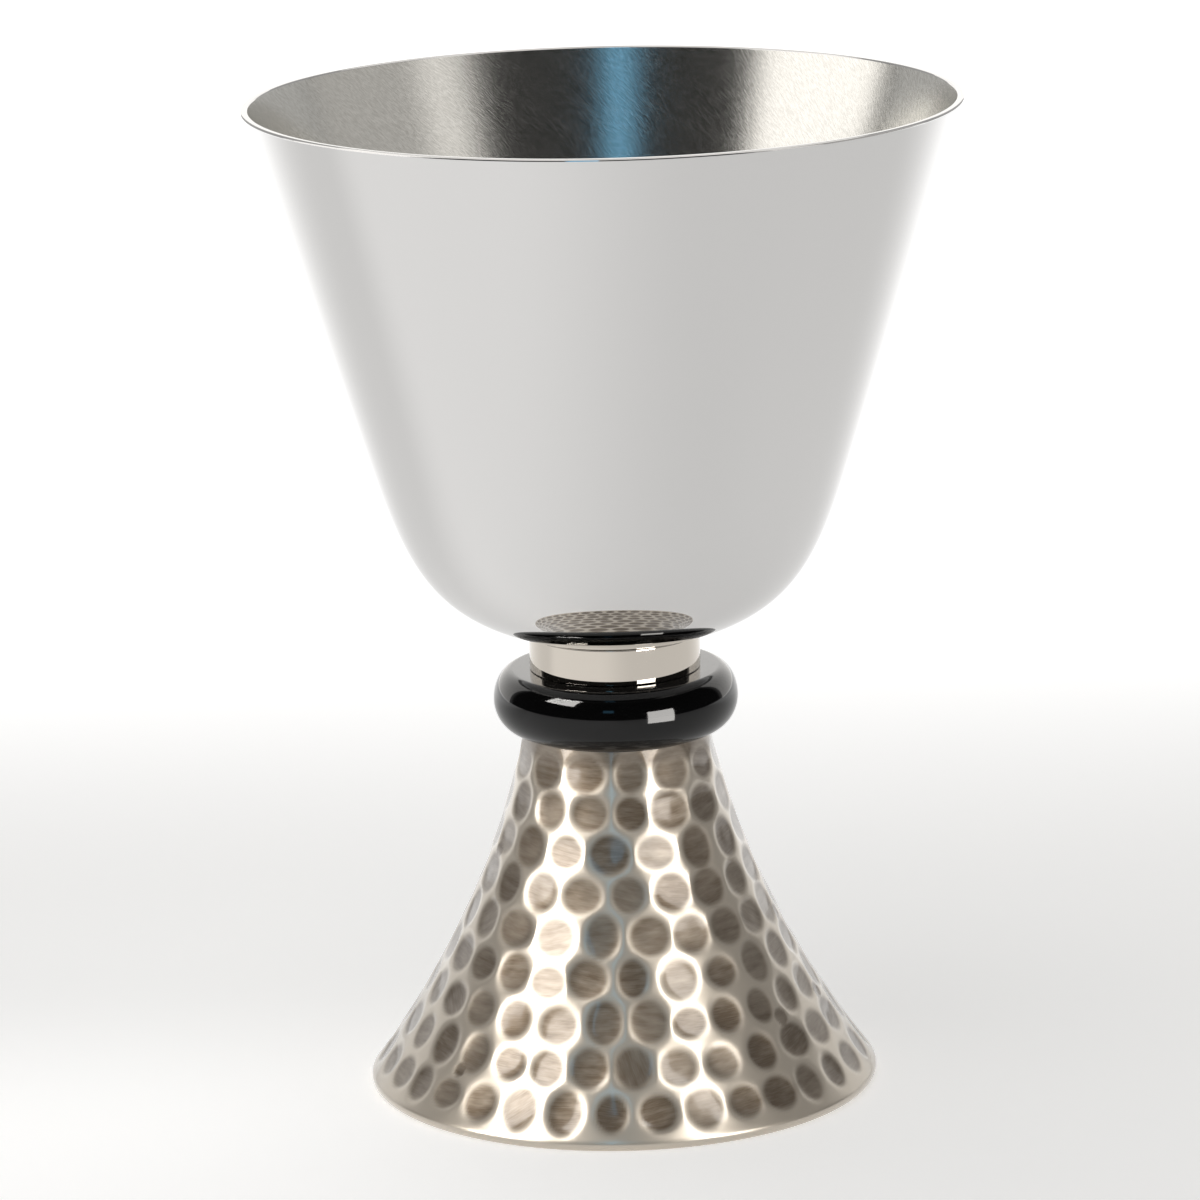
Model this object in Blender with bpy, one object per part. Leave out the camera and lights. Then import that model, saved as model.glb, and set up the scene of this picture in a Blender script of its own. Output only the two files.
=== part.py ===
# Stem chalice: a hammered flared foot, a black turned knop, a plain collar and a polished bowl.
# The four pieces stand one on another along +Z. Lengths are in metres, angles in degrees.

import math
import random

import bmesh
import bpy
from mathutils.geometry import delaunay_2d_cdt

# Clearance between pieces that rest on each other
rest_gap = 0.0003

# Foot: a thin flared shell, open below, closed by a disc under the knop
foot_height = 0.05795
foot_radius = 0.04105
neck_radius = 0.01509
neck_lean = 10.9
skirt_lean = 37.7
flare_upper_pull = 0.02355
flare_lower_pull = 0.0138
foot_wall = 0.0014
foot_roof = 0.0018
foot_edge_round = 0.00115
foot_land_width = 0.0019

# Hammering on the foot: shallow round dimples in staggered rows, evened out by pushing apart
dimple_pitch = 0.0073
dimple_row_step = 0.0066
dimple_depth = 0.00045
dimple_side_depth = 0.0003
dimple_side_share = 0.3
dimple_wander = 0.15
plain_band_low = 0.0016
plain_band_high = 0.0010
hammer_seed = 11
spread_rounds = 24
spread_reach = 1.25
spread_strength = 0.2
spread_margin = 0.0028

# Knop: a cushion-shaped ring with flat lands above and below; its widest circle at a share of its height
knop_height = 0.01005
knop_radius = 0.01963
knop_widest = 0.51
knop_upper_land = 0.0165
knop_land_margin = 0.00013

# Collar: a plain drum between the knop and the bowl
collar_height = 0.0053
collar_radius = 0.0137
collar_edge_round = 0.0002

# Bowl: a rounded bottom that runs into a straight flaring wall
bowl_height = 0.0858
rim_radius = 0.05693
wall_lean = 18.05
bowl_wall = 0.0012
bowl_turn_height = 0.0273
bowl_seat_inset = 0.00025
seat_rise = 14.0
bowl_lower_pull = 0.0157
bowl_upper_pull = 0.0169
lip_round = 0.00035

# Facets: steps round a turned piece and along its curves
turn_steps = 68
small_turn_steps = 48
flare_table_steps = 240
curve_steps = 8
inner_steps = 5
edge_steps = 3
lip_steps = 2
knop_side_steps = 8
sharp_edge_angle = 35.0

# Turning round the axis: nearer than this a point is on it
axis_reach = 1e-7
# Net of dimples: how far past one turn its points and its triangles are laid out, in turns
strip_overlap = 0.35
strip_kept = 0.2


def clear_objects():
    for old in list(bpy.data.objects):
        bpy.data.objects.remove(old, do_unlink=True)


def metal_or_lacquer(name, colour, metallic, roughness):
    material = bpy.data.materials.new(name)
    material.use_nodes = True
    shader = material.node_tree.nodes["Principled BSDF"]
    shader.inputs["Base Color"].default_value = (*colour, 1.0)
    shader.inputs["Metallic"].default_value = metallic
    shader.inputs["Roughness"].default_value = roughness
    return material


def bezier(p0, p1, p2, p3, steps):
    """Points (radius, height) along a cubic curve, both ends included."""
    points = []
    for i in range(steps + 1):
        t = i / steps
        u = 1.0 - t
        weights = (u * u * u, 3 * u * u * t, 3 * u * t * t, t * t * t)
        corners = (p0, p1, p2, p3)
        radius = sum(w * c[0] for w, c in zip(weights, corners))
        height = sum(w * c[1] for w, c in zip(weights, corners))
        points.append((radius, height))
    return points


def arc(centre, radius, start, end, steps):
    """Points on a circle in the profile plane, from one angle to another, ends included."""
    points = []
    for i in range(steps + 1):
        angle = math.radians(start + (end - start) * i / steps)
        points.append((centre[0] + radius * math.cos(angle), centre[1] + radius * math.sin(angle)))
    return points


def rounded_corner(before, corner, after, radius, steps):
    """The arc of the given radius that replaces a profile's corner."""
    ax, ay = before[0] - corner[0], before[1] - corner[1]
    bx, by = after[0] - corner[0], after[1] - corner[1]
    a_length, b_length = math.hypot(ax, ay), math.hypot(bx, by)
    ax, ay, bx, by = ax / a_length, ay / a_length, bx / b_length, by / b_length
    half = 0.5 * math.acos(max(-1.0, min(1.0, ax * bx + ay * by)))
    setback = radius / math.tan(half)
    reach = radius / math.sin(half)
    mx, my = ax + bx, ay + by
    m_length = math.hypot(mx, my)
    centre = (corner[0] + reach * mx / m_length, corner[1] + reach * my / m_length)
    first = (corner[0] + setback * ax, corner[1] + setback * ay)
    last = (corner[0] + setback * bx, corner[1] + setback * by)
    start = math.degrees(math.atan2(first[1] - centre[1], first[0] - centre[0]))
    end = math.degrees(math.atan2(last[1] - centre[1], last[0] - centre[0]))
    turn = (end - start + 180.0) % 360.0 - 180.0
    return arc(centre, radius, start, start + turn, steps)


def offset_inward(points, distance):
    """The profile moved to its left by a distance: inward, for an outside read upward."""
    moved = []
    for i, (radius, height) in enumerate(points):
        before = points[max(i - 1, 0)]
        after = points[min(i + 1, len(points) - 1)]
        run_r, run_z = after[0] - before[0], after[1] - before[1]
        length = math.hypot(run_r, run_z)
        moved.append((radius - distance * run_z / length, height + distance * run_r / length))
    return moved


def radius_at(points, height):
    """The radius of a profile at a height; the points are ordered upward."""
    for (r0, z0), (r1, z1) in zip(points, points[1:]):
        if z0 <= height <= z1:
            return r0 + (r1 - r0) * (height - z0) / (z1 - z0)
    return points[0][0] if height < points[0][1] else points[-1][0]


def height_at(points, radius):
    """The height at which a narrowing profile, ordered upward, has a radius."""
    for (r0, z0), (r1, z1) in zip(points, points[1:]):
        if r1 <= radius <= r0:
            return z0 + (z1 - z0) * (r0 - radius) / (r0 - r1)
    return points[0][1]


def add_ring(mesh, radius, height, steps):
    """One circle of vertices, or a single vertex on the axis."""
    if radius < axis_reach:
        return [mesh.verts.new((0.0, 0.0, height))]
    ring = []
    for i in range(steps):
        angle = 2.0 * math.pi * i / steps
        ring.append(mesh.verts.new((radius * math.cos(angle), radius * math.sin(angle), height)))
    return ring


def join_rings(mesh, lower, upper):
    """Faces between two circles that follow each other along a profile."""
    steps = max(len(lower), len(upper))
    for i in range(steps):
        j = (i + 1) % steps
        if len(lower) == 1:
            mesh.faces.new((lower[0], upper[j], upper[i]))
        elif len(upper) == 1:
            mesh.faces.new((lower[i], lower[j], upper[0]))
        else:
            mesh.faces.new((lower[i], lower[j], upper[j], upper[i]))


def turn_profile(mesh, profile, steps):
    """A profile spun round Z; it runs with the solid on its left."""
    rings = [add_ring(mesh, radius, height, steps) for radius, height in profile]
    for lower, upper in zip(rings, rings[1:]):
        join_rings(mesh, lower, upper)
    return rings


def make_piece(name, mesh, base_height, material):
    """The finished object, stood at its height, shaded smooth with its edges kept."""
    data = bpy.data.meshes.new(name)
    mesh.to_mesh(data)
    mesh.free()
    data.materials.append(material)
    data.shade_smooth()
    data.set_sharp_from_angle(angle=math.radians(sharp_edge_angle))
    piece = bpy.data.objects.new(name, data)
    piece.location = (0.0, 0.0, base_height)
    bpy.context.scene.collection.objects.link(piece)
    return piece


def foot_flare():
    """The foot's outside curve, from the rounded edge up to the neck."""
    skirt = math.radians(skirt_lean)
    neck = math.radians(neck_lean)
    low = (
        foot_radius - foot_edge_round * (1.0 - math.cos(skirt)),
        foot_edge_round * (1.0 + math.sin(skirt)),
    )
    high = (neck_radius, foot_height)
    low_pull = (low[0] - flare_lower_pull * math.sin(skirt), low[1] + flare_lower_pull * math.cos(skirt))
    high_pull = (high[0] + flare_upper_pull * math.sin(neck), high[1] - flare_upper_pull * math.cos(neck))
    return bezier(low, low_pull, high_pull, high, flare_table_steps)


class FlareSurface:
    """The flare laid out flat: turn round the axis across, and a height scaled so that shapes keep
    their proportions."""

    def __init__(self, profile):
        self.profile = profile
        self.along = [0.0]
        self.scaled = [0.0]
        for (r0, z0), (r1, z1) in zip(profile, profile[1:]):
            step = math.hypot(r1 - r0, z1 - z0)
            self.along.append(self.along[-1] + step)
            self.scaled.append(self.scaled[-1] + 2.0 * step / (r0 + r1))

    def read(self, table, value):
        """The index and share along a table at which it has a value."""
        low, high = 0, len(table) - 1
        while high - low > 1:
            middle = (low + high) // 2
            if table[middle] <= value:
                low = middle
            else:
                high = middle
        share = (value - table[low]) / (table[high] - table[low])
        return low, share

    def scaled_at(self, along):
        index, share = self.read(self.along, along)
        return self.scaled[index] + share * (self.scaled[index + 1] - self.scaled[index])

    def radius_at(self, table, value):
        """The radius where a table, the length along the curve or the scaled height, has a value."""
        index, share = self.read(table, value)
        return self.profile[index][0] + share * (self.profile[index + 1][0] - self.profile[index][0])

    def point(self, angle, scaled, depth=0.0):
        """A point of the surface in space, pushed in by a depth."""
        index, share = self.read(self.scaled, scaled)
        (r0, z0), (r1, z1) = self.profile[index], self.profile[index + 1]
        length = math.hypot(r1 - r0, z1 - z0)
        out_r, out_z = (z1 - z0) / length, (r0 - r1) / length
        radius = r0 + share * (r1 - r0) - depth * out_r
        height = z0 + share * (z1 - z0) - depth * out_z
        return radius * math.cos(angle), radius * math.sin(angle), height


def hammer_marks(surface, first, last):
    """Dimple centres (turn, scaled height) in staggered, slightly wandering rows."""
    chance = random.Random(hammer_seed)
    rows = max(1, round((last - first) / dimple_row_step))
    row_step = (last - first) / rows
    marks = []
    for row in range(rows):
        along = first + (row + 0.5) * row_step
        radius = surface.radius_at(surface.along, along)
        count = max(6, round(2.0 * math.pi * radius / dimple_pitch))
        phase = chance.random()
        for i in range(count):
            sideways = chance.uniform(-dimple_wander, dimple_wander)
            upward = chance.uniform(-dimple_wander, dimple_wander) * dimple_pitch
            angle = 2.0 * math.pi * (i + phase + sideways) / count
            marks.append((angle % (2.0 * math.pi), surface.scaled_at(along + upward)))
    low = surface.scaled_at(first + spread_margin)
    high = surface.scaled_at(last - spread_margin)
    for _ in range(spread_rounds):
        marks = pushed_apart(surface, marks, low, high)
    return marks


def pushed_apart(surface, marks, low, high):
    """The marks after each has been pushed a little away from its near neighbours."""
    reach = spread_reach * dimple_pitch
    radii = [surface.radius_at(surface.scaled, scaled) for angle, scaled in marks]
    moved = []
    for (angle, scaled), radius in zip(marks, radii):
        push_across, push_up = 0.0, 0.0
        for (other_angle, other_scaled), other_radius in zip(marks, radii):
            between = 0.5 * (radius + other_radius)
            across = ((angle - other_angle + math.pi) % (2.0 * math.pi) - math.pi) * between
            up = (scaled - other_scaled) * between
            gap = math.hypot(across, up)
            if 0.0 < gap < reach:
                push = spread_strength * (reach - gap) / gap
                push_across += push * across
                push_up += push * up
        new_angle = (angle + push_across / radius) % (2.0 * math.pi)
        new_scaled = min(max(scaled + push_up / radius, low), high)
        moved.append((new_angle, new_scaled))
    return moved


def canonical(corners):
    """A triangle or edge on the endless strip, named by its place in one turn."""
    ordered = sorted(corners)
    shift = ordered[0][1]
    return tuple((index, turn - shift) for index, turn in ordered)


def net_on_strip(points):
    """Triangles (point index, turn) of points on a strip that closes on itself after one turn."""
    spots = []
    owners = []
    for turn in (-1, 0, 1):
        for index, (angle, scaled) in enumerate(points):
            if -strip_overlap <= angle / (2.0 * math.pi) + turn <= 1.0 + strip_overlap:
                spots.append((angle + 2.0 * math.pi * turn, scaled))
                owners.append((index, turn))
    triangles = delaunay_2d_cdt(spots, [], [], 0, 1e-9)[2]
    net = {}
    for triangle in triangles:
        corners = [owners[k] for k in triangle]
        middle = sum(spots[k][0] for k in triangle) / 3.0
        if -strip_kept <= middle / (2.0 * math.pi) <= 1.0 + strip_kept:
            name = canonical(corners)
            first = min(corners)
            net.setdefault(name, [(index, turn - first[1]) for index, turn in corners])
    return list(net.values())


def add_hammered_band(mesh, surface, low_ring, high_ring, low_scaled, high_scaled, marks):
    """Dimples, each a sloping side round a shallow dish, between two plain circles."""
    points = []
    verts = []
    for ring, scaled in ((low_ring, low_scaled), (high_ring, high_scaled)):
        for i, vert in enumerate(ring):
            points.append((2.0 * math.pi * i / len(ring), scaled))
            verts.append(vert)
    first_mark = len(points)
    for angle, scaled in marks:
        points.append((angle, scaled))
        verts.append(mesh.verts.new(surface.point(angle, scaled, dimple_depth)))

    crests = {}
    edges = {}
    sides = {}
    for corners in net_on_strip(points):
        places = [(points[i][0] + 2.0 * math.pi * turn, points[i][1]) for i, turn in corners]
        middle = (sum(p[0] for p in places) / 3.0, sum(p[1] for p in places) / 3.0)
        crest = len(crests)
        crests[crest] = mesh.verts.new(surface.point(*middle))
        for (index, _), place in zip(corners, places):
            if index >= first_mark:
                inner = [m + dimple_side_share * (p - m) for m, p in zip(middle, place)]
                sides[index, crest] = mesh.verts.new(surface.point(*inner, dimple_side_depth))
        (ax, ay), (bx, by), (cx, cy) = places
        if (bx - ax) * (cy - ay) - (by - ay) * (cx - ax) < 0.0:
            corners = corners[::-1]
        for start, end in zip(corners, corners[1:] + corners[:1]):
            name = canonical((start, end))
            forward = name[0][0] == start[0] and name[1][0] == end[0]
            if start[0] == end[0]:
                forward = start[1] < end[1]
            edges.setdefault(name, {})[forward] = crest

    def close_side(index, before, after):
        """The faces between one point of the net and the crest that runs past it."""
        if index < first_mark:
            mesh.faces.new((verts[index], crests[before], crests[after]))
        else:
            low_before, low_after = sides[index, before], sides[index, after]
            mesh.faces.new((crests[before], crests[after], low_after, low_before))
            mesh.faces.new((verts[index], low_before, low_after))

    for name, crest_of in edges.items():
        first, second = name[0][0], name[1][0]
        left, right = crest_of.get(True), crest_of.get(False)
        if left is not None and right is not None:
            close_side(first, right, left)
            close_side(second, left, right)
        elif left is not None:
            mesh.faces.new((verts[first], verts[second], crests[left]))
        else:
            mesh.faces.new((verts[second], verts[first], crests[right]))


def make_foot():
    """The hammered foot: inside, standing edge, plain bands, dimples and top disc."""
    flare = foot_flare()
    surface = FlareSurface(flare)
    inside = offset_inward(flare, foot_wall)
    roof_height = foot_height - foot_roof
    land_inner = foot_radius - foot_edge_round - foot_land_width
    shoulder = height_at(inside, land_inner)

    profile = [(0.0, roof_height)]
    for i in range(inner_steps + 1):
        height = roof_height + (shoulder - roof_height) * i / inner_steps
        profile.append((radius_at(inside, height), height))
    profile.append((land_inner, 0.0))
    edge_centre = (foot_radius - foot_edge_round, foot_edge_round)
    profile += arc(edge_centre, foot_edge_round, -90.0, skirt_lean, edge_steps)[:-1]
    mesh = bmesh.new()
    rings = turn_profile(mesh, profile, turn_steps)

    first = plain_band_low
    last = surface.along[-1] - plain_band_high
    low_scaled = surface.scaled_at(first)
    high_scaled = surface.scaled_at(last)
    skirt_ring = add_ring(mesh, *flare[0], turn_steps)
    join_rings(mesh, rings[-1], skirt_ring)
    low_point = surface.point(0.0, low_scaled)
    low_ring = add_ring(mesh, low_point[0], low_point[2], turn_steps)
    join_rings(mesh, skirt_ring, low_ring)
    high_point = surface.point(0.0, high_scaled)
    high_ring = add_ring(mesh, high_point[0], high_point[2], small_turn_steps)
    marks = hammer_marks(surface, first, last)
    add_hammered_band(mesh, surface, low_ring, high_ring, low_scaled, high_scaled, marks)
    neck_ring = add_ring(mesh, neck_radius, foot_height, small_turn_steps)
    join_rings(mesh, high_ring, neck_ring)
    join_rings(mesh, neck_ring, add_ring(mesh, 0.0, foot_height, small_turn_steps))
    silver = metal_or_lacquer("hammered silver", (0.52, 0.49, 0.45), 1.0, 0.28)
    return make_piece("foot", mesh, 0.0, silver)


def make_knop(base_height):
    """The black knop: flat lands and a full round side."""
    lower_land = neck_radius + knop_land_margin
    lower_height = knop_widest * knop_height
    upper_height = knop_height - lower_height
    profile = [(0.0, 0.0)]
    for i in range(knop_side_steps + 1):
        swing = math.radians(-90.0 + 180.0 * i / knop_side_steps)
        land = lower_land if swing < 0.0 else knop_upper_land
        reach = lower_height if swing < 0.0 else upper_height
        radius = land + (knop_radius - land) * math.cos(swing)
        profile.append((radius, lower_height + reach * math.sin(swing)))
    profile.append((0.0, knop_height))
    mesh = bmesh.new()
    turn_profile(mesh, profile, small_turn_steps)
    black = metal_or_lacquer("black lacquer", (0.012, 0.012, 0.013), 0.0, 0.06)
    return make_piece("knop", mesh, base_height, black)


def make_collar(base_height):
    """The plain drum under the bowl, its two edges just broken."""
    bottom = (0.0, 0.0)
    low = (collar_radius, 0.0)
    high = (collar_radius, collar_height)
    top = (0.0, collar_height)
    profile = [bottom]
    profile += rounded_corner(bottom, low, high, collar_edge_round, 1)
    profile += rounded_corner(low, high, top, collar_edge_round, 1)
    profile.append(top)
    mesh = bmesh.new()
    turn_profile(mesh, profile, small_turn_steps)
    silver = metal_or_lacquer("polished silver", (0.86, 0.84, 0.80), 1.0, 0.06)
    return make_piece("collar", mesh, base_height, silver)


def make_bowl(base_height):
    """The bowl: a hollow turned cup of even wall with a rounded lip."""
    rise = math.radians(seat_rise)
    lean = math.radians(wall_lean)
    seat = (collar_radius - bowl_seat_inset, 0.0)
    turn = (rim_radius - (bowl_height - bowl_turn_height) * math.tan(lean), bowl_turn_height)
    seat_pull = (seat[0] + bowl_lower_pull * math.cos(rise), bowl_lower_pull * math.sin(rise))
    turn_pull = (turn[0] - bowl_upper_pull * math.sin(lean), turn[1] - bowl_upper_pull * math.cos(lean))
    outside = bezier(seat, seat_pull, turn_pull, turn, curve_steps)
    inside = offset_inward(bezier(seat, seat_pull, turn_pull, turn, inner_steps), bowl_wall)
    lip_out = (rim_radius, bowl_height)
    lip_in = (rim_radius - bowl_wall / math.cos(lean), bowl_height)

    profile = [(0.0, 0.0)] + outside
    profile += rounded_corner(outside[-1], lip_out, lip_in, lip_round, lip_steps)
    profile += rounded_corner(lip_out, lip_in, inside[-1], lip_round, lip_steps)
    profile += inside[::-1]
    profile.append((0.0, inside[0][1]))
    mesh = bmesh.new()
    turn_profile(mesh, profile, turn_steps)
    silver = metal_or_lacquer("bright silver", (0.88, 0.87, 0.85), 1.0, 0.05)
    return make_piece("bowl", mesh, base_height, silver)


clear_objects()
knop_base = foot_height + rest_gap
collar_base = knop_base + knop_height + rest_gap
bowl_base = collar_base + collar_height + rest_gap
make_foot()
make_knop(knop_base)
make_collar(collar_base)
make_bowl(bowl_base)
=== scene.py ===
import math
import random

import bpy
import numpy as np
from mathutils import Matrix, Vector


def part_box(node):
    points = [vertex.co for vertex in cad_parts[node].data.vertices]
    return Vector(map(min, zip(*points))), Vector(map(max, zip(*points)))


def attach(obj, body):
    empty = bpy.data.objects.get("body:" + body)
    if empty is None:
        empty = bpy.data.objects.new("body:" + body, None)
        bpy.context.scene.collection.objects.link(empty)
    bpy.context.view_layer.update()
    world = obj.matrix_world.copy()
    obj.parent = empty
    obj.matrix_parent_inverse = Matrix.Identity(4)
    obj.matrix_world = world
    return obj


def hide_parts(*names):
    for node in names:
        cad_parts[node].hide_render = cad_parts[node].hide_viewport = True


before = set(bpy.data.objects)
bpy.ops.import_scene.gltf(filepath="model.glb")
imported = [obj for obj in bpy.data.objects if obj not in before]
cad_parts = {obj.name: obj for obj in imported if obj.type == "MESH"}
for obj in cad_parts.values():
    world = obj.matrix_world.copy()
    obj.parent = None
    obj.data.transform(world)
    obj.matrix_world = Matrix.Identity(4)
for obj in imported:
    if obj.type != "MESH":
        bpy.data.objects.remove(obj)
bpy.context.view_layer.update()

# A stem chalice: mirror-bright cup with a satin inside, plain collar, black knop, hammered foot.
# Lengths are metres, angles degrees, azimuths run from the camera side, plus to the right.

print("camera")
view = {
    "distance": 0.93948,  # in front of the axis
    "height": 0.30850,
    "pitch": 13.719,
    "roll": 1.349,        # the top leans left
    "yaw": -0.133,
    "lens": 181.34,       # millimetres, on a 36 mm frame
    "sensor": 36.0,
    "clipNear": 0.01,
    "clipFar": 50.0,
}


def makeCamera():
    data = bpy.data.cameras.new("camera")
    data.lens = view["lens"]
    data.sensor_width = view["sensor"]
    data.clip_start = view["clipNear"]
    data.clip_end = view["clipFar"]
    camera = bpy.data.objects.new("camera", data)
    turn = Matrix.Rotation(math.radians(-view["yaw"]), 4, "Z")
    tilt = Matrix.Rotation(math.radians(90.0 - view["pitch"]), 4, "X")
    lean = Matrix.Rotation(math.radians(-view["roll"]), 4, "Z")
    place = Matrix.Translation((0.0, -view["distance"], view["height"]))
    camera.matrix_world = place @ turn @ tilt @ lean
    bpy.context.scene.collection.objects.link(camera)
    bpy.context.scene.camera = camera


makeCamera()


# One output of a shader node; arithmetic on it adds Math nodes
class Wire:
    def __init__(self, sheet, socket):
        self.sheet = sheet
        self.socket = socket

    def math(self, operation, first, second=0.0, clamp=False):
        settings = {"operation": operation, "use_clamp": clamp}
        return self.sheet.node("Math", settings, {0: first, 1: second})

    def __add__(self, other):
        return self.math("ADD", self, other)

    def __sub__(self, other):
        return self.math("SUBTRACT", self, other)

    def __mul__(self, other):
        return self.math("MULTIPLY", self, other)

    def __radd__(self, other):
        return self.math("ADD", other, self)

    def __rsub__(self, other):
        return self.math("SUBTRACT", other, self)

    def __rmul__(self, other):
        return self.math("MULTIPLY", other, self)

    def size(self):
        return self.math("ABSOLUTE", self)

    def clamped(self):
        return self.math("ADD", self, 0.0, clamp=True)

    # 0 below low, 1 above high, eased between them; low may be the larger
    def rise(self, low, high):
        settings = {"interpolation_type": "SMOOTHSTEP"}
        if low < high:
            return self.sheet.node("MapRange", settings, {0: self, 1: low, 2: high, 3: 0.0, 4: 1.0})
        return self.sheet.node("MapRange", settings, {0: self, 1: high, 2: low, 3: 1.0, 4: 0.0})


# A node tree being filled in
class Sheet:
    def __init__(self, tree):
        self.tree = tree

    def feed(self, socket, value):
        if isinstance(value, Wire):
            self.tree.links.new(value.socket, socket)
        elif isinstance(value, tuple) and len(value) == 3 and socket.type == "RGBA":
            socket.default_value = (*value, 1.0)
        else:
            socket.default_value = value

    def node(self, kind, settings, inputs, output=0):
        made = self.tree.nodes.new("ShaderNode" + kind)
        for key, value in settings.items():
            setattr(made, key, value)
        for key, value in inputs.items():
            self.feed(made.inputs[key], value)
        return Wire(self, made.outputs[output]) if made.outputs else None

    def place(self):
        return self.node("TexCoord", {}, {}, "Object")

    def attribute(self, name, output="Fac"):
        return self.node("Attribute", {"attribute_name": name}, {}, output)

    def mixed(self, share, first, second):
        return self.node("Mix", {"data_type": "RGBA"}, {0: share, 6: first, 7: second}, 2)

    def stretched(self, vector, scales):
        return self.node("VectorMath", {"operation": "MULTIPLY"}, {0: vector, 1: scales})

    # Position turned about the axis in step with height, so that upright grain slants, with no seam
    def twisted(self, slant):
        place = self.place()
        height = self.node("SeparateXYZ", {}, {0: place}, 2)
        settings = {"rotation_type": "Z_AXIS"}
        return self.node("VectorRotate", settings, {"Vector": place, "Angle": height * slant})

    def noise(self, vector, scale, detail=2.0, roughness=0.5, distortion=0.0):
        inputs = {"Vector": vector, "Scale": scale, "Detail": detail, "Roughness": roughness}
        inputs["Distortion"] = distortion
        return self.node("TexNoise", {}, inputs)

    def bump(self, height, strength, distance):
        return self.node("Bump", {}, {"Strength": strength, "Distance": distance, "Height": height})


# A material, with plain values on its Principled shader to start from
class Finish(Sheet):
    def __init__(self, name, values):
        self.material = bpy.data.materials.new(name)
        self.material.use_nodes = True
        super().__init__(self.material.node_tree)
        self.shader = self.tree.nodes["Principled BSDF"]
        self.set(values)

    def set(self, values):
        for key, value in values.items():
            self.feed(self.shader.inputs[key], value)


# Points (radius, height) along a cubic curve, both ends included
def curve(points, steps):
    share = np.linspace(0.0, 1.0, steps + 1)[:, None]
    left = 1.0 - share
    a, b, c, d = (np.array(p) for p in points)
    return left ** 3 * a + 3 * left ** 2 * share * b + 3 * left * share ** 2 * c + share ** 3 * d


# Points on a circle in the profile plane, from one angle to another
def arc(centre, radius, start, end, steps):
    angles = np.radians(np.linspace(start, end, steps + 1))
    return np.stack([centre[0] + radius * np.cos(angles), centre[1] + radius * np.sin(angles)], 1)


# The profile moved to its left: inward, for an outside read upward
def movedIn(profile, distance):
    run = np.gradient(profile, axis=0)
    run /= np.linalg.norm(run, axis=1)[:, None]
    return profile + distance * np.stack([-run[:, 1], run[:, 0]], 1)


def lineBetween(first, last, steps):
    share = np.linspace(0.0, 1.0, steps + 1)[:, None]
    return np.array(first) * (1.0 - share) + np.array(last) * share


# Two points just inside the ends of a straight run, which keep its shading flat up to the rounding
def braced(first, last, inset=0.00005):
    first, last = np.array(first), np.array(last)
    step = (last - first) / np.linalg.norm(last - first) * inset
    return [tuple(first + step), tuple(last - step)]


# Circles of points from a profile of (radius, height); a radius of 0 gives the one point on the axis
def circles(profile, columns):
    angles = np.arange(columns) * 2.0 * math.pi / columns
    made = []
    for radius, height in profile:
        if radius < 1e-7:
            made.append(np.array([[0.0, 0.0, height]]))
        else:
            ring = [radius * np.cos(angles), radius * np.sin(angles), np.full(columns, height)]
            made.append(np.stack(ring, 1))
    return made


sharpAngle = 40.0  # edges that turn more than this stay crisp


# A closed skin over circles that follow one another, with the solid on their left
def skin(name, rings, base=0.0):
    starts = np.cumsum([0] + [len(ring) for ring in rings])
    columns = max(len(ring) for ring in rings)
    here = np.arange(columns)
    ahead = (here + 1) % columns
    faces = []
    for index in range(len(rings) - 1):
        low, high = starts[index], starts[index + 1]
        if len(rings[index]) == 1:
            joined = np.stack([np.full(columns, low), high + ahead, high + here], 1)
        elif len(rings[index + 1]) == 1:
            joined = np.stack([low + here, low + ahead, np.full(columns, high)], 1)
        else:
            joined = np.stack([low + here, low + ahead, high + ahead, high + here], 1)
        faces += joined.tolist()
    points = np.concatenate(rings) + np.array([0.0, 0.0, base])
    mesh = bpy.data.meshes.new(name)
    mesh.from_pydata(points.tolist(), [], faces)
    mesh.update()
    mesh.shade_smooth()
    mesh.set_sharp_from_angle(angle=math.radians(sharpAngle))
    piece = bpy.data.objects.new(name, mesh)
    bpy.context.scene.collection.objects.link(piece)
    return piece


# The new piece stands for its solid and moves with the body
def settle(piece, node):
    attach(piece, "root")
    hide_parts(node)


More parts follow.
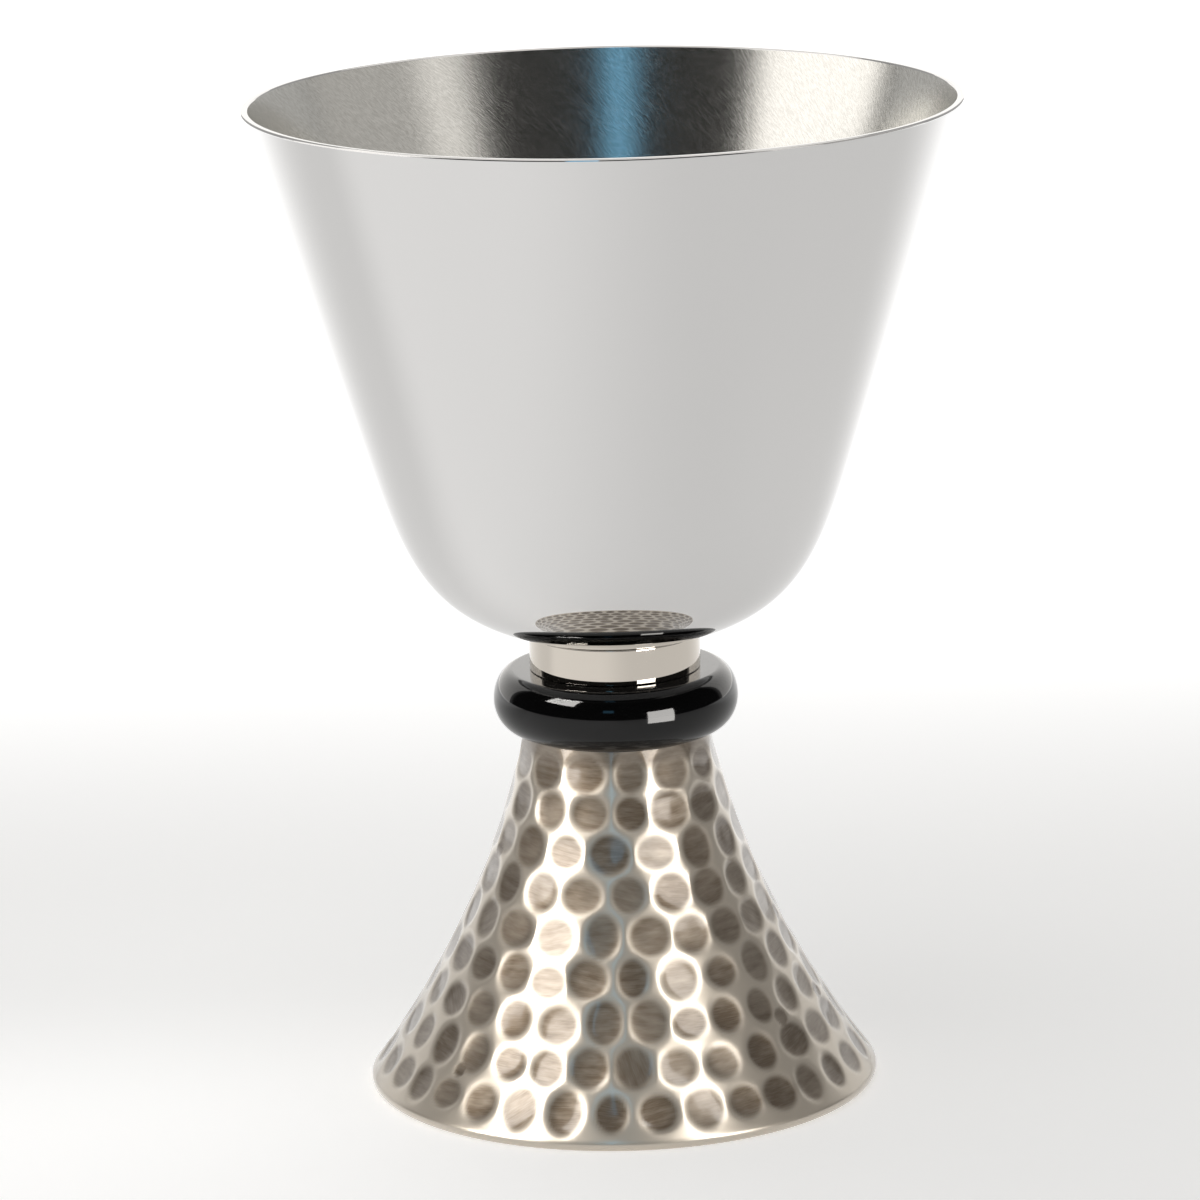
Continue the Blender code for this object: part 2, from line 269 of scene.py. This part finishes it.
print("foot")
foot = {
    "neckRadius": 0.01509,
    "neckLean": 10.9,
    "skirtLean": 37.7,
    "upperPull": 0.02355,
    "lowerPull": 0.0138,
    "wall": 0.0014,
    "roof": 0.0018,
    "edgeRound": 0.00115,
    "landWidth": 0.0019,
    "columns": 560,
    "rows": 150,
    "insideRows": 12,
    "edgeSteps": 10,
    "curveSteps": 240,
    "capShare": 0.5,      # circle on the roof, as a share of the neck
    "pitch": 0.0073,      # of the hammer marks
    "rowStep": 0.0066,
    "fewest": 6,          # marks in a row
    "wander": 0.15,
    "plainLow": 0.0016,
    "plainHigh": 0.0010,
    "seed": 11,           # the solid's own marks
    "spreadRounds": 24,
    "spreadReach": 1.25,
    "spreadStrength": 0.2,
    "spreadMargin": 0.0028,
    "markRadius": 0.00356,
    "depth": 0.00034,
    "fullness": 2.6,      # higher is flatter in the middle and steeper at the side
    "soften": 0.34,       # rounding of a mark's rim, as a share of its depth
    "blend": 5,           # higher keeps the crest between two marks sharper
    "markEdge": 1.3,      # how far out a mark is worked out, in radii
    "slopeLimits": (0.2, 2.0),
    "stainRise": (0.06, 0.62),
    "tilt": 0.30,
    "extraShare": 0.06,   # marks with a small one struck beside them
    "extraAway": 0.60,    # in pitches
    "extraAside": 0.1,
    "extraSizes": (0.36, 0.5),
    "variety": 23,        # seed of the sizes, tilts and tones
    "sizes": (0.88, 1.10),
    "ovals": (-0.08, 0.14),
    "depths": (0.85, 1.1),
    "tones": (0.78, 1.0),
    "grainSpread": 7.0,
    "strayShare": 0.08,   # marks whose brushing runs another way
    "strayGrain": 80.0,
    "ridge": (0.555, 0.50, 0.425),
    "floor": (0.112, 0.083, 0.056),
    "streak": (0.30, 0.26, 0.215),
    "ridgeRoughness": 0.30,
    "floorRoughness": 0.40,
    "coat": {"Coat Weight": 1.0, "Coat Roughness": 0.10, "Coat IOR": 1.5},
    "lineGrain": (350.0, 5200.0, 3.1),  # the brushing in a mark: along, across, from mark to mark
    "broadGrain": (260.0, 900.0, 1.7),
    "cloudScale": 240.0,
    "neckShadeAndStain": 0.0026,  # dark brushed band under the knop: painted shade where the knop shades the neck, together with patina
    "neckReach": 1.6,     # in widths of that band
    "neckShadeAndStainDark": 0.8,
}


def flareProfile(radius, height):
    skirt = math.radians(foot["skirtLean"])
    neck = math.radians(foot["neckLean"])
    edge = foot["edgeRound"]
    low = (radius - edge * (1.0 - math.cos(skirt)), edge * (1.0 + math.sin(skirt)))
    high = (foot["neckRadius"], height)
    pull = foot["lowerPull"]
    lowPull = (low[0] - pull * math.sin(skirt), low[1] + pull * math.cos(skirt))
    pull = foot["upperPull"]
    highPull = (high[0] + pull * math.sin(neck), high[1] - pull * math.cos(neck))
    return curve((low, lowPull, highPull, high), foot["curveSteps"])


# Centres of the marks as turn and scaled height, drawn in the solid's order and spread as there
def markCentres(along, scaled, radii):
    chance = random.Random(foot["seed"])
    first = foot["plainLow"]
    last = along[-1] - foot["plainHigh"]
    pitch, wander = foot["pitch"], foot["wander"]
    rows = max(1, round((last - first) / foot["rowStep"]))
    rowStep = (last - first) / rows
    turns, heights = [], []
    for row in range(rows):
        at = first + (row + 0.5) * rowStep
        radius = np.interp(at, along, radii)
        count = max(foot["fewest"], round(2.0 * math.pi * radius / pitch))
        phase = chance.random()
        for index in range(count):
            sideways = chance.uniform(-wander, wander)
            upward = chance.uniform(-wander, wander) * pitch
            turns.append(2.0 * math.pi * (index + phase + sideways) / count % (2.0 * math.pi))
            heights.append(np.interp(at + upward, along, scaled))
    turns, heights = np.array(turns), np.array(heights)
    low = np.interp(first + foot["spreadMargin"], along, scaled)
    high = np.interp(last - foot["spreadMargin"], along, scaled)
    reach = foot["spreadReach"] * pitch
    for spread in range(foot["spreadRounds"]):
        radius = np.interp(heights, scaled, radii)
        between = 0.5 * (radius[:, None] + radius[None, :])
        across = ((turns[:, None] - turns[None, :] + math.pi) % (2.0 * math.pi) - math.pi) * between
        up = (heights[:, None] - heights[None, :]) * between
        gap = np.hypot(across, up) + np.eye(len(turns)) * reach
        push = foot["spreadStrength"] * np.maximum(reach - gap, 0.0) / gap
        turns = (turns + (push * across).sum(1) / radius) % (2.0 * math.pi)
        heights = np.clip(heights + (push * up).sum(1) / radius, low, high)
    return list(zip(turns, heights))


# Size, tilt and tone of every mark, with a few small ones struck in the gaps
def markVariety(centres, along, scaled, radii):
    chance = random.Random(foot["variety"])
    low, high = np.interp([foot["spreadMargin"], along[-1] - foot["spreadMargin"]], along, scaled)
    marks = []
    for turn, tall in centres:
        mark = {"turn": turn, "tall": tall, "size": chance.uniform(*foot["sizes"])}
        marks.append(mark)
        if chance.random() < foot["extraShare"]:
            radius = np.interp(tall, scaled, radii)
            way = chance.choice((-1.0, 1.0)) * foot["extraAway"] * foot["pitch"] / radius
            aside = chance.uniform(-foot["extraAside"], foot["extraAside"]) * foot["pitch"] / radius
            size = chance.uniform(*foot["extraSizes"])
            if low < tall + way < high:
                marks.append({"turn": turn + aside, "tall": tall + way, "size": size})
    for mark in marks:
        mark["reach"] = foot["markRadius"] * mark["size"]
        mark["oval"] = chance.uniform(*foot["ovals"])
        mark["tiltAcross"] = chance.uniform(-1.0, 1.0) * foot["tilt"]
        mark["tiltUp"] = chance.uniform(-1.0, 1.0) * foot["tilt"]
        mark["deep"] = foot["depth"] * chance.uniform(*foot["depths"]) * mark["size"]
        mark["dark"] = chance.uniform(*foot["tones"])
        mark["grain"] = math.radians(chance.gauss(0.0, foot["grainSpread"]))
        if chance.random() < foot["strayShare"]:
            mark["grain"] = math.radians(chance.uniform(-foot["strayGrain"], foot["strayGrain"]))
    return marks


# Depth of the hammering, how dark its floors are, and the brushing direction of each floor
def hammered(angles, scaledRows, radiusRows, marks):
    turn, tall = np.meshgrid(angles, scaledRows)
    radius = np.repeat(radiusRows[:, None], len(angles), 1)
    depth = np.zeros_like(turn)
    patinaAndShade = np.zeros_like(turn)
    brush = np.zeros(turn.shape + (3,))
    nearest = np.full(turn.shape, 9.0)
    soft, blend = foot["soften"], foot["blend"]
    stainFrom, stainOver = foot["stainRise"]
    for number, mark in enumerate(marks):
        reach = mark["reach"]
        across = (turn - mark["turn"] + math.pi) % (2.0 * math.pi) - math.pi
        across = across * radius / reach
        up = (tall - mark["tall"]) * radius / reach
        away = np.hypot(across * (1.0 + mark["oval"]), up * (1.0 - mark["oval"]))
        inside = away < foot["markEdge"]
        over = 1.0 - away[inside] ** foot["fullness"]
        rounded = np.where(over > soft, over, np.maximum(over + soft, 0.0) ** 2 / (4.0 * soft))
        slope = 1.0 + mark["tiltAcross"] * across[inside] + mark["tiltUp"] * up[inside]
        dish = mark["deep"] * rounded * np.clip(slope, *foot["slopeLimits"])
        depth[inside] = (depth[inside] ** blend + dish ** blend) ** (1.0 / blend)
        stain = np.clip((rounded - stainFrom) / stainOver, 0.0, 1.0)
        stain = stain * stain * (3.0 - 2.0 * stain) * mark["dark"]
        patinaAndShade[inside] = np.maximum(patinaAndShade[inside], stain)
        closer = inside & (away < nearest)
        nearest[closer] = away[closer]
        cosine, sine = math.cos(mark["grain"]), math.sin(mark["grain"])
        brush[closer, 0] = (across[closer] * cosine + up[closer] * sine) * reach
        brush[closer, 1] = (up[closer] * cosine - across[closer] * sine) * reach
        brush[closer, 2] = number
    return depth, patinaAndShade, brush


def footFinish():
    finish = Finish("hammeredSilver", {"Metallic": 1.0, **foot["coat"]})
    patinaAndShade = finish.attribute("patinaAndShade")
    brush = finish.attribute("brush", "Vector")
    place = finish.place()
    lines = finish.noise(finish.stretched(brush, foot["lineGrain"]), 1.0, 3.0, 0.6)
    broad = finish.noise(finish.stretched(brush, foot["broadGrain"]), 1.0, 2.0)
    cloud = finish.noise(place, foot["cloudScale"], 3.0)
    # The dark floor colour paints the patina of the marks and the painted shade under the knop
    patinaAndShadeShare = (patinaAndShade * (0.72 + 0.56 * broad)).clamped()
    patinaAndShadeColour = finish.mixed(patinaAndShadeShare, foot["ridge"], foot["floor"])
    streak = (lines.rise(0.40, 0.75) * patinaAndShade * 0.22).clamped()
    colour = finish.mixed(streak, patinaAndShadeColour, foot["streak"])
    smooth = foot["ridgeRoughness"]
    rough = smooth + patinaAndShade * (foot["floorRoughness"] - smooth) + (cloud - 0.5) * 0.06
    bumps = finish.bump(lines * patinaAndShade, 0.22, 0.00005)
    finish.set({"Base Color": colour, "Roughness": rough, "Normal": bumps})
    return finish.material


def makeFoot():
    low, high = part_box("foot")
    radius, height = high.x, high.z
    flare = flareProfile(radius, height)
    steps = np.linalg.norm(np.diff(flare, axis=0), axis=1)
    middle = 0.5 * (flare[1:, 0] + flare[:-1, 0])
    along = np.concatenate([[0.0], np.cumsum(steps)])
    scaled = np.concatenate([[0.0], np.cumsum(steps / middle)])
    centres = markCentres(along, scaled, flare[:, 0])

    columns, rows = foot["columns"], foot["rows"]
    angles = np.arange(columns) * 2.0 * math.pi / columns
    at = np.linspace(0.0, along[-1], rows)
    radii = np.interp(at, along, flare[:, 0])
    heights = np.interp(at, along, flare[:, 1])
    marks = markVariety(centres, along, scaled, flare[:, 0])
    depth, patinaAndShade, brush = hammered(angles, np.interp(at, along, scaled), radii, marks)
    # Painted shade under the knop, partly patina: the top of the neck darkens, in the same channel as
    # the patina of the marks
    band = foot["neckShadeAndStain"]
    neck = np.clip((at - along[-1] + foot["neckReach"] * band) / band, 0.0, 1.0)
    patinaAndShade = np.maximum(patinaAndShade, foot["neckShadeAndStainDark"] * (neck * neck * (3.0 - 2.0 * neck))[:, None])
    run = np.gradient(np.stack([radii, heights], 1), axis=0)
    run /= np.linalg.norm(run, axis=1)[:, None]
    ringRadius = radii[:, None] - depth * run[:, 1:2]
    ringHeight = heights[:, None] + depth * run[:, 0:1]
    hammeredRings = []
    for row in range(rows):
        flat = [ringRadius[row] * np.cos(angles), ringRadius[row] * np.sin(angles), ringHeight[row]]
        hammeredRings.append(np.stack(flat, 1))

    inner = movedIn(flare, foot["wall"])
    roof = height - foot["roof"]
    edge = foot["edgeRound"]
    landInner = radius - edge - foot["landWidth"]
    innerBase = np.interp(-landInner, -inner[:, 0], inner[:, 1])
    innerHeights = np.linspace(roof, innerBase, foot["insideRows"])
    capRadius = foot["capShare"] * foot["neckRadius"]
    hollow = [(0.0, roof), (capRadius, roof)]
    hollow += [(np.interp(z, inner[:, 1], inner[:, 0]), z) for z in innerHeights]
    hollow += [(landInner, 0.5 * innerBase), (landInner, 0.0)]
    rounding = arc((radius - edge, edge), edge, -90.0, foot["skirtLean"], foot["edgeSteps"])
    hollow += rounding[:-1].tolist()
    lead = circles(hollow, columns)
    cap = circles([(capRadius, height), (0.0, height)], columns)
    piece = skin("footShell", lead + hammeredRings + cap)

    before = sum(len(ring) for ring in lead)
    count = len(piece.data.vertices)
    # This channel holds the patina of the marks and the painted shade under the knop
    stain = np.zeros(count)
    stain[before:before + patinaAndShade.size] = patinaAndShade.ravel()
    lines = np.zeros((count, 3))
    lines[before:before + patinaAndShade.size] = brush.reshape(-1, 3)
    attributes = piece.data.attributes
    attributes.new("patinaAndShade", "FLOAT", "POINT").data.foreach_set("value", stain)
    attributes.new("brush", "FLOAT_VECTOR", "POINT").data.foreach_set("vector", lines.ravel())
    piece.data.materials.append(footFinish())
    settle(piece, "foot")
    print("  marks", len(marks), "faces", len(piece.data.polygons))


makeFoot()

print("knop")
knop = {
    "upperLand": 0.0165,
    "lowerLand": 0.01522,
    "widest": 0.51,       # share of the height
    "under": 0.00028,     # closes the resting gap
    "neckInset": 0.0002,
    "capShare": 0.9,      # circle on the top, as a share of the land
    "columns": 240,
    "sideSteps": 72,
    "finish": {"Base Color": (0.003, 0.003, 0.0032), "IOR": 1.40},
}


def knopFinish():
    finish = Finish("blackLacquer", knop["finish"])
    place = finish.place()
    haze = finish.noise(place, 160.0, 3.0)
    dust = finish.noise(place, 2600.0, 1.0).rise(0.70, 0.80)
    rough = 0.045 + 0.03 * haze + 0.08 * dust
    finish.set({"Roughness": rough, "Normal": finish.bump(haze, 0.04, 0.0002)})
    return finish.material


def makeKnop():
    low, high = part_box("knop")
    base, height = low.z, high.z - low.z
    swings = np.radians(np.linspace(-90.0, 90.0, knop["sideSteps"] + 1))
    land = np.where(swings < 0.0, knop["lowerLand"], knop["upperLand"])
    middle = knop["widest"] * height
    reach = np.where(swings < 0.0, middle, height - middle)
    side = np.stack([land + (high.x - land) * np.cos(swings), middle + reach * np.sin(swings)], 1)
    neck = knop["lowerLand"] - knop["neckInset"]
    profile = [(0.0, -knop["under"]), (neck, -knop["under"]), (neck, 0.0)] + side.tolist()
    profile += [(knop["capShare"] * knop["upperLand"], height), (0.0, height)]
    piece = skin("knopRing", circles(profile, knop["columns"]), base)
    piece.data.materials.append(knopFinish())
    settle(piece, "knop")


makeKnop()

print("collar")
collar = {
    "edgeRound": 0.0002,
    "edgeSteps": 5,
    "capShare": 0.9,      # circles on the ends, as a share of the radius
    "reach": 0.00028,     # closes the resting gaps above and below
    "columns": 240,
    "silver": (0.66, 0.61, 0.545),
    "stain": (0.50, 0.36, 0.22),
}


def collarFinish():
    finish = Finish("polishedSilver", {"Metallic": 1.0})
    place = finish.place()
    wavy = finish.noise(place, 140.0, 2.0, 0.5, 1.5)
    thread = (wavy - 0.5).size().rise(0.012, 0.0)
    patch = finish.noise(place, 45.0, 1.0).rise(0.52, 0.68)
    colour = finish.mixed(thread * patch * 0.35, collar["silver"], collar["stain"])
    rough = 0.012 + 0.01 * finish.noise(place, 500.0, 2.0)
    finish.set({"Base Color": colour, "Roughness": rough})
    return finish.material


def makeCollar():
    low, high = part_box("collar")
    radius, height = high.x, high.z - low.z + 2.0 * collar["reach"]
    edge, steps = collar["edgeRound"], collar["edgeSteps"]
    capRadius = collar["capShare"] * radius
    profile = [(0.0, 0.0), (capRadius, 0.0)]
    profile += arc((radius - edge, edge), edge, -90.0, 0.0, steps).tolist()
    profile += braced((radius, edge), (radius, height - edge))
    profile += arc((radius - edge, height - edge), edge, 0.0, 90.0, steps).tolist()
    profile += [(capRadius, height), (0.0, height)]
    piece = skin("collarDrum", circles(profile, collar["columns"]), low.z - collar["reach"])
    piece.data.materials.append(collarFinish())
    settle(piece, "collar")


makeCollar()

print("bowl")
bowl = {
    "rimRadius": 0.05691,  # of the sharp corner that the lip's rounding cuts
    "wallLean": 18.05,
    "wall": 0.0012,
    "turnHeight": 0.0273,
    "seatRadius": 0.01345,
    "seatRise": 14.0,
    "lowerPull": 0.0157,
    "upperPull": 0.0169,
    "lipRound": 0.00035,
    "lipSteps": 6,
    "seatShare": 0.8,     # circle under the bowl, as a share of the seat
    "bottom": 1.15,       # height of the level floor inside, in walls
    "floorEase": 0.0016,
    "floorRow": 12,       # row of the inside curve that the floor runs up to
    "floorPoints": 30,
    "columns": 320,
    "curveSteps": 56,
    "wallSteps": 20,
    "bright": (0.70, 0.695, 0.69),
    "satin": (0.88, 0.87, 0.835),
    "satinDark": (0.67, 0.66, 0.625),
    "grainSlant": -19.0,  # radians of turn to the metre of height
    "fineGrain": (4200.0, 4200.0, 90.0),
    "broadGrain": (420.0, 420.0, 40.0),
    "hairSlant": -40.0,
    "hairGrain": (900.0, 900.0, 30.0),
}


def brightFinish():
    finish = Finish("brightSilver", {"Metallic": 1.0, "Base Color": bowl["bright"]})
    place = finish.place()
    smear = finish.noise(place, 30.0, 3.0)
    hairs = finish.stretched(finish.twisted(bowl["hairSlant"]), bowl["hairGrain"])
    hair = finish.noise(hairs, 1.0, 1.0)
    rough = 0.022 + 0.020 * smear + 0.05 * hair.rise(0.72, 0.80)
    finish.set({"Roughness": rough})
    return finish.material


def satinFinish():
    finish = Finish("satinSilver", {"Metallic": 1.0})
    grain = finish.twisted(bowl["grainSlant"])
    fine = finish.noise(finish.stretched(grain, bowl["fineGrain"]), 1.0, 3.0, 0.6)
    broad = finish.noise(finish.stretched(grain, bowl["broadGrain"]), 1.0, 2.0)
    rough = 0.10 + 0.12 * fine + 0.05 * broad
    shade = finish.mixed(fine.rise(0.3, 0.7), bowl["satinDark"], bowl["satin"])
    bumps = finish.bump(fine, 0.50, 0.00003)
    finish.set({"Base Color": shade, "Roughness": rough, "Normal": bumps})
    return finish.material


# The arc that rounds off a corner of the profile
def roundedCorner(before, corner, after, radius, steps):
    before, corner, after = (np.array(p, float) for p in (before, corner, after))
    a = (before - corner) / np.linalg.norm(before - corner)
    b = (after - corner) / np.linalg.norm(after - corner)
    half = 0.5 * math.acos(float(a @ b))
    centre = corner + (a + b) / np.linalg.norm(a + b) * radius / math.sin(half)
    first = corner + a * radius / math.tan(half) - centre
    last = corner + b * radius / math.tan(half) - centre
    start = math.degrees(math.atan2(first[1], first[0]))
    end = math.degrees(math.atan2(last[1], last[0]))
    return arc(centre, radius, start, start + (end - start + 180.0) % 360.0 - 180.0, steps)


# The level bottom inside, eased into the rising curve
def insideFloor(inside):
    bottom, ease = bowl["bottom"] * bowl["wall"], bowl["floorEase"]
    radii = np.linspace(0.0, inside[bowl["floorRow"], 0], bowl["floorPoints"])
    start, slope = inside[0], (inside[1, 1] - inside[0, 1]) / (inside[1, 0] - inside[0, 0])
    rising = np.where(
        radii < start[0],
        start[1] + slope * (radii - start[0]),
        np.interp(radii, inside[:, 0], inside[:, 1]),
    )
    gap = np.maximum(ease - np.abs(rising - bottom), 0.0)
    return np.stack([radii, np.maximum(rising, bottom) + gap ** 2 / (4.0 * ease)], 1)


def makeBowl():
    low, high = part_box("bowl")
    base, height = low.z, high.z - low.z
    rise = math.radians(bowl["seatRise"])
    lean = math.radians(bowl["wallLean"])
    seat = (bowl["seatRadius"], 0.0)
    rim = bowl["rimRadius"]
    turn = (rim - (height - bowl["turnHeight"]) * math.tan(lean), bowl["turnHeight"])
    pull = bowl["lowerPull"]
    seatPull = (seat[0] + pull * math.cos(rise), pull * math.sin(rise))
    pull = bowl["upperPull"]
    turnPull = (turn[0] - pull * math.sin(lean), turn[1] - pull * math.cos(lean))
    rounded = curve((seat, seatPull, turnPull, turn), bowl["curveSteps"])
    inside = movedIn(rounded, bowl["wall"])
    lipOut = (rim, height)
    lipIn = (rim - bowl["wall"] / math.cos(lean), height)

    wallIn = lineBetween(inside[-1], lipIn, bowl["wallSteps"])
    lipRound, lipSteps = bowl["lipRound"], bowl["lipSteps"]
    outer = lineBetween(rounded[-1], lipOut, bowl["wallSteps"])[1:-1]
    outerCorner = roundedCorner(rounded[-1], lipOut, lipIn, lipRound, lipSteps)
    innerCorner = roundedCorner(lipOut, lipIn, inside[-1], lipRound, lipSteps)
    profile = [(0.0, 0.0), (bowl["seatShare"] * seat[0], 0.0)]
    profile += rounded.tolist() + outer.tolist()
    profile += [braced(outer[-1], outerCorner[0])[1]] + outerCorner.tolist()
    profile += braced(outerCorner[-1], innerCorner[0]) + innerCorner.tolist()
    profile += [braced(innerCorner[-1], inside[-1])[0]]
    outsideRows = len(profile) - 2
    profile += wallIn[1:-1][::-1].tolist()
    profile += inside[bowl["floorRow"] + 1:][::-1].tolist()
    profile += insideFloor(inside)[::-1].tolist()
    piece = skin("bowlCup", circles(profile, bowl["columns"]), base)
    piece.data.materials.append(brightFinish())
    piece.data.materials.append(satinFinish())
    rows = np.arange(len(piece.data.polygons)) // bowl["columns"]
    which = (rows >= outsideRows).astype(np.int32)
    piece.data.polygons.foreach_set("material_index", which)
    settle(piece, "bowl")


makeBowl()

print("studio")
studio = {
    "floorSize": 8.0,
    "floorColour": (0.86, 0.855, 0.845),
    "boxColour": (1.0, 0.975, 0.94),
    "stripColour": (0.22, 0.62, 0.95),
    "backdrop": 0.45,     # brightness of the surroundings behind
    "upperBackdrop": 0.40,
    "room": 0.03,         # and in front
    "overhead": 0.15,
    "roomEdge": (112.0, 120.0),
    "upperRise": (14.0, 24.0),   # elevations where the backdrop dims, and where the ceiling starts
    "overheadRise": (45.0, 75.0),
    "airColour": (1.0, 0.99, 0.97),
    "panelStep": 6.0,
    "glowDepth": (0.10, 0.45),  # the floor's own glow, to a white ground behind
    "glowWidth": (0.12, -0.12),
    "glowFront": (0.06, -0.03),
    "glowLeft": (0.63, 0.627, 0.622),
    "glowRight": (0.47, 0.468, 0.464),
    "glowBack": (1.0, 1.0, 1.0),
}
# Azimuths and elevations from the knop's middle, distance and brightness; the first word is the group
panels = {
    "stemLeft": {"from": -72.0, "to": -42.0, "low": 2.0, "high": 60.0, "far": 0.80, "light": 6.5},
    "stemRight": {"from": 34.0, "to": 49.0, "low": 20.0, "high": 60.0, "far": 0.80, "light": 5.2},
    "stemRightLow": {"from": 30.0, "to": 57.0, "low": 0.0, "high": 20.0, "far": 0.80, "light": 5.2},
    "stemFill": {"from": -115.0, "to": 115.0, "low": 0.0, "high": 62.0, "far": 0.80, "light": 0.30},
    "stemBack": {"from": 118.0, "to": 242.0, "low": -2.0, "high": 50.0, "far": 0.80, "light": 0.65},
    "stemStrip": {"from": -8.2, "to": -5.2, "low": 2.0, "high": 50.0, "far": 0.80, "light": 2.2},
    "turnedLeft": {"from": -78.0, "to": -44.0, "low": 31.0, "high": 53.0, "far": 0.80, "light": 18.0},
    "turnedRight": {"from": 28.5, "to": 54.0, "low": -11.5, "high": 15.0, "far": 0.31, "light": 15.5},
    "turnedBack": {"from": 118.0, "to": 242.0, "low": -2.0, "high": 40.0, "far": 0.80, "light": 1.4},
    "turnedStrip": {"from": -12.5, "to": -2.5, "low": 18.0, "high": 25.0, "far": 0.80, "light": 1.4},
    "turnedSpotStrip": {"from": -10.5, "to": 2.0, "low": 70.0, "high": 75.5, "far": 0.30, "light": 6.0},
    "cupLeft": {"from": -116.0, "to": -56.0, "low": 2.0, "high": 50.0, "far": 0.80, "light": 0.6},
    "cupLeftCore": {"from": -110.0, "to": -61.0, "low": 2.0, "high": 50.0, "far": 0.80, "light": 0.72},
    "cupRight": {"from": 46.0, "to": 76.0, "low": 2.0, "high": 50.0, "far": 0.80, "light": 0.38},
    "cupRightCore": {"from": 52.0, "to": 70.0, "low": 2.0, "high": 50.0, "far": 0.80, "light": 0.46},
    "cupRightSide": {"from": 70.0, "to": 118.0, "low": 2.0, "high": 50.0, "far": 0.80, "light": 0.44},
    "cupBack": {"from": 160.0, "to": 200.0, "low": 4.0, "high": 28.0, "far": 0.80, "light": 0.8},
    "cupOver": {"from": -180.0, "to": 180.0, "low": 48.0, "high": 84.0, "far": 0.60, "light": 0.8},
    "cupStrip": {"from": -11.5, "to": -1.5, "low": 2.0, "high": 50.0, "far": 0.80, "light": 0.72},
}


def newTree(name, mesh):
    material = bpy.data.materials.new(name)
    material.use_nodes = True
    mesh.materials.append(material)
    return material.node_tree


# A glowing band around the axis, seen in one group's reflections only
def panel(name, item, receivers):
    distance = item["far"]
    colour = studio["stripColour"] if "Strip" in name else studio["boxColour"]
    middleHeight = 0.5 * (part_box("knop")[0].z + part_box("knop")[1].z)
    steps = max(4, round(abs(item["to"] - item["from"]) / studio["panelStep"]))
    turns = np.radians(np.linspace(item["from"], item["to"], steps + 1))
    points = []
    for level in ("low", "high"):
        height = middleHeight + distance * math.tan(math.radians(item[level]))
        points += [(distance * math.sin(turn), -distance * math.cos(turn), height) for turn in turns]
    above = steps + 1
    faces = [(i, i + above, i + above + 1, i + 1) for i in range(steps)]
    mesh = bpy.data.meshes.new(name)
    mesh.from_pydata(points, [], faces)
    mesh.update()
    glow = Sheet(newTree(name, mesh))
    glow.tree.nodes.clear()
    light = glow.node("Emission", {}, {"Color": colour, "Strength": item["light"]})
    clear = glow.node("BsdfTransparent", {}, {})
    both = glow.node("AddShader", {}, {0: light, 1: clear})
    glow.node("OutputMaterial", {}, {"Surface": both})
    card = bpy.data.objects.new(name, mesh)
    bpy.context.scene.collection.objects.link(card)
    card.light_linking.receiver_collection = receivers
    card.visible_camera = False
    card.visible_diffuse = False
    card.visible_shadow = False


def makeFloor():
    half = 0.5 * studio["floorSize"]
    corners = [(-half, -half, 0.0), (half, -half, 0.0), (half, half, 0.0), (-half, half, 0.0)]
    mesh = bpy.data.meshes.new("floor")
    mesh.from_pydata(corners, [], [(0, 1, 2, 3)])
    finish = Finish("paleFloor", {"Base Color": studio["floorColour"], "Roughness": 0.7})
    place = finish.place()
    x = finish.node("SeparateXYZ", {}, {0: place}, 0)
    y = finish.node("SeparateXYZ", {}, {0: place}, 1)
    back = y.rise(*studio["glowDepth"])
    left = x.rise(*studio["glowWidth"]) * y.rise(*studio["glowFront"])
    dim = finish.mixed(left, studio["glowRight"], studio["glowLeft"])
    glow = finish.mixed(back, dim, studio["glowBack"])
    finish.set({"Emission Color": glow, "Emission Strength": 1.0})
    mesh.materials.append(finish.material)
    floor = bpy.data.objects.new("floor", mesh)
    bpy.context.scene.collection.objects.link(floor)


# A pale backdrop behind, a dark room in front and overhead
def makeSurroundings():
    world = bpy.data.worlds.new("surroundings")
    world.use_nodes = True
    bpy.context.scene.world = world
    sheet = Sheet(world.node_tree)
    sheet.tree.nodes.clear()
    way = sheet.node("TexCoord", {}, {}, "Generated")
    x = sheet.node("SeparateXYZ", {}, {0: way}, 0)
    y = sheet.node("SeparateXYZ", {}, {0: way}, 1)
    z = sheet.node("SeparateXYZ", {}, {0: way}, 2)
    azimuth = (x.math("ARCTAN2", x, 0.0 - y) * math.degrees(1.0)).size()
    behind = azimuth.rise(*studio["roomEdge"])
    up = z.rise(*(math.sin(math.radians(angle)) for angle in studio["overheadRise"]))
    above = z.rise(*(math.sin(math.radians(angle)) for angle in studio["upperRise"]))
    pale = studio["backdrop"] + above * (studio["upperBackdrop"] - studio["backdrop"])
    light = studio["room"] + behind * (pale - studio["room"])
    light = light + up * (studio["overhead"] - light)
    glow = sheet.node("Background", {}, {"Color": studio["airColour"], "Strength": light})
    sheet.node("OutputWorld", {}, {"Surface": glow})


# Lamps that show in no reflection: place, size, watts
lamps = {
    "backLamp": {"place": (-0.05, 0.95, 1.5), "size": 1.6, "watts": 4.0},
    "frontLamp": {"place": (-0.35, -0.25, 1.3), "size": 1.0, "watts": 3.5},
}


def makeLamps():
    for name, item in lamps.items():
        data = bpy.data.lights.new(name, "AREA")
        data.shape = "DISK"
        data.size = item["size"]
        data.energy = item["watts"]
        lamp = bpy.data.objects.new(name, data)
        lamp.location = item["place"]
        lamp.visible_glossy = False
        lamp.visible_camera = False
        bpy.context.scene.collection.objects.link(lamp)


makeFloor()
makeSurroundings()
makeLamps()
groups = {"cup": ["bowlCup"], "stem": ["footShell"], "turned": ["knopRing", "collarDrum"]}
for group, members in groups.items():
    receivers = bpy.data.collections.new(group)
    for member in members:
        receivers.objects.link(bpy.data.objects[member])
    for name, item in panels.items():
        if name.startswith(group):
            panel(name, item, receivers)
bpy.context.scene.view_settings.view_transform = "Standard"

print("done")
